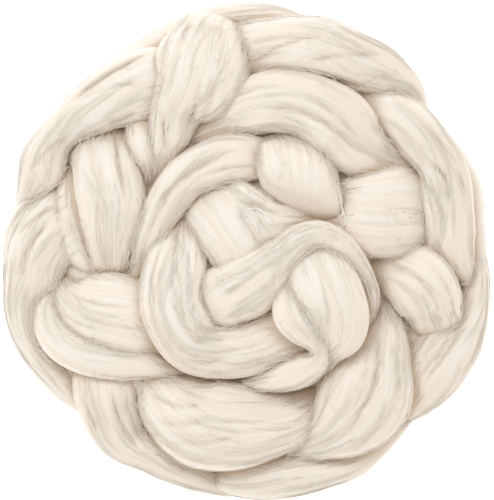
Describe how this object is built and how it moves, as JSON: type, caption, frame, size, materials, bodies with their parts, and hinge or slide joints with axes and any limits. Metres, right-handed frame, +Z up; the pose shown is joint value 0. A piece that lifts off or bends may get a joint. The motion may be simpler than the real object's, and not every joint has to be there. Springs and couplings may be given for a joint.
{
  "type": "chained wool roving nest",
  "caption": "Length of combed wool roving, chained by hand and coiled into a flat round nest of plump overlapping lobes; lies flat on a table.",
  "frame": {"origin": "on the table under the middle of the nest", "axes": "+Z up out of the coil's face, +Y towards the top of the picture, +X to its right"},
  "size_m": [0.227, 0.2296, 0.0747],
  "materials": {
    "wool_top": "soft combed wool with a silky sheen along the fibres"
  },
  "bodies": {
    "root": {"roving_nest": "wool_top"}
  },
  "joints": []
}
